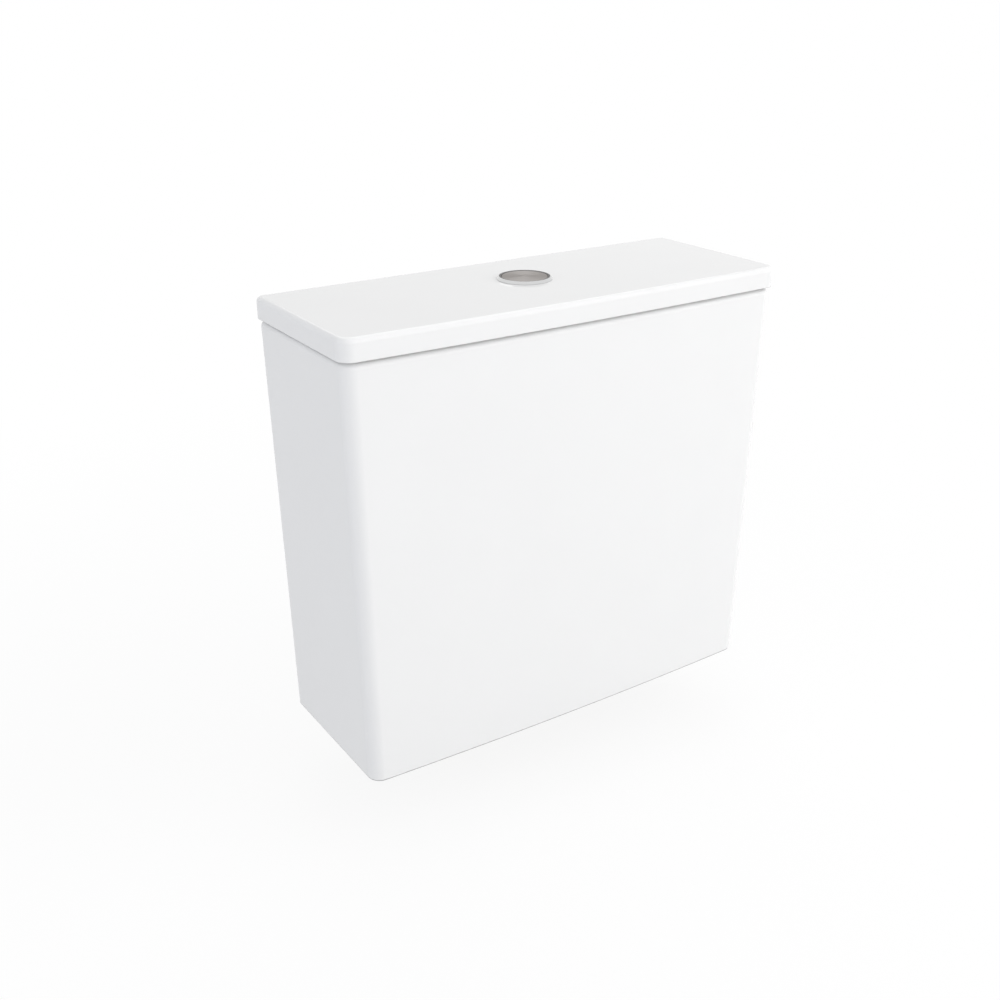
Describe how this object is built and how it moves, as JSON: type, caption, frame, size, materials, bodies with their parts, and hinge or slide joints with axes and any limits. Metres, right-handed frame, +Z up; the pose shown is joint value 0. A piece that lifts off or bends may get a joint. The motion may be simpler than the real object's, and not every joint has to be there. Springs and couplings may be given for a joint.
{
  "type": "toilet cistern",
  "caption": "Close-coupled white china toilet cistern with a lift-off lid, a round dual-flush push button, a drop flush valve and a float-operated fill valve.",
  "frame": {"origin": "on the flush outlet's axis, midway between the two coupling bolts, in the plane of the tank's underside", "axes": "+X to the right seen from the front, +Y towards the wall behind the cistern, +Z up"},
  "size_m": [0.39, 0.1458, 0.4089],
  "materials": {
    "vitreous_china": "white glazed vitreous china",
    "white_silicone": "moulded silicone",
    "polished_chrome": "polished chrome plate",
    "satin_chrome": "brushed satin chrome plate",
    "spring_steel": "drawn stainless wire",
    "stainless_steel": "turned or stamped stainless steel",
    "white_polypropylene": "moulded polypropylene",
    "grey_polypropylene": "moulded polypropylene",
    "blue_polypropylene": "moulded polypropylene",
    "green_polypropylene": "moulded polypropylene",
    "red_acetal": "moulded acetal",
    "red_silicone": "moulded silicone",
    "black_rubber": "moulded EPDM rubber",
    "brass": "plain turned brass",
    "black_acetal": "moulded acetal"
  },
  "bodies": {
    "cistern": {"cistern_tank": "vitreous_china", "valve_base": "white_polypropylene", "base_washer": "black_rubber", "valve_backnut": "white_polypropylene", "coupling_gasket": "black_rubber", "valve_tower": "white_polypropylene", "lever_pin": "stainless_steel", "fill_body": "white_polypropylene", "fill_washer": "black_rubber", "fill_backnut": "white_polypropylene", "inlet_filter": "green_polypropylene", "hush_sleeve": "white_polypropylene", "valve_head": "white_polypropylene", "diaphragm": "black_rubber", "valve_cap": "grey_polypropylene", "float_lever_pin": "stainless_steel", "coupling_bolts": "brass", "bolt_cone_washers": "black_rubber", "bolt_head_washers": "stainless_steel", "pan_rubber_washers": "black_rubber", "pan_steel_washers": "stainless_steel", "wing_nuts": "brass"},
    "lid": {"cistern_lid": "vitreous_china", "lid_buffers": "white_silicone", "button_bezel": "polished_chrome", "button_guide_ring": "black_acetal", "button_lock_nut": "white_polypropylene", "full_button_spring": "spring_steel", "half_button_spring": "spring_steel"},
    "full_button": {"full_flush_button": "satin_chrome", "full_push_rod": "blue_polypropylene"},
    "half_button": {"half_flush_button": "satin_chrome", "half_push_rod": "white_polypropylene"},
    "full_lever": {"full_flush_lever": "blue_polypropylene"},
    "half_lever": {"half_flush_lever": "white_polypropylene"},
    "yoke": {"lifting_yoke": "green_polypropylene"},
    "tube": {"overflow_tube": "grey_polypropylene", "flush_seal": "red_silicone", "seal_retainer": "grey_polypropylene", "flush_float": "blue_polypropylene"},
    "float": {"float_cup": "blue_polypropylene", "float_link": "white_polypropylene", "adjusting_clip": "red_acetal"},
    "float_arm": {"float_lever": "white_polypropylene", "pilot_seal": "black_rubber"}
  },
  "joints": [
    {"name": "lid_lift", "type": "slide", "parent": "cistern", "child": "lid", "axis": [0, 0, 1], "range_m": [0, 0.12]},
    {"name": "full_button_press", "type": "slide", "parent": "lid", "child": "full_button", "axis": [0, 0, -1], "range_m": [0, 0.007], "stiffness_N_per_m": 250, "springref_m": -0.005, "deforming": ["full_button_spring"]},
    {"name": "half_button_press", "type": "slide", "parent": "lid", "child": "half_button", "axis": [0, 0, -1], "range_m": [0, 0.007], "stiffness_N_per_m": 250, "springref_m": -0.005, "deforming": ["half_button_spring"]},
    {"name": "full_lever_turn", "type": "hinge", "parent": "cistern", "child": "full_lever", "pos_m": [0, 0, 0.28676], "axis": [1, 0, 0], "range_deg": [0, 36.51]},
    {"name": "half_lever_turn", "type": "hinge", "parent": "cistern", "child": "half_lever", "pos_m": [0, 0, 0.28676], "axis": [-1, 0, 0], "range_deg": [0, 36.51]},
    {"name": "yoke_lift", "type": "slide", "parent": "cistern", "child": "yoke", "axis": [0, 0, 1], "range_m": [0, 0.01503]},
    {"name": "tube_lift", "type": "slide", "parent": "yoke", "child": "tube", "axis": [0, 0, 1], "range_m": [0, 0.01503]},
    {"name": "float_rise", "type": "slide", "parent": "cistern", "child": "float", "axis": [0, 0, 1], "range_m": [0, 0.012]},
    {"name": "float_arm_turn", "type": "hinge", "parent": "cistern", "child": "float_arm", "pos_m": [-0.13, 0, 0.27959], "axis": [0, -1, 0], "range_deg": [0, 24.61]}
  ],
  "couplings": [
    {"joint": "full_lever_turn", "follows": "full_button_press", "rad_per_m": 90.909},
    {"joint": "yoke_lift", "follows": "full_button_press", "ratio": 2.1452},
    {"joint": "half_lever_turn", "follows": "half_button_press", "rad_per_m": 90.909},
    {"joint": "tube_lift", "follows": "half_button_press", "ratio": 2.1452},
    {"joint": "float_arm_turn", "follows": "float_rise", "rad_per_m": 35.714}
  ]
}
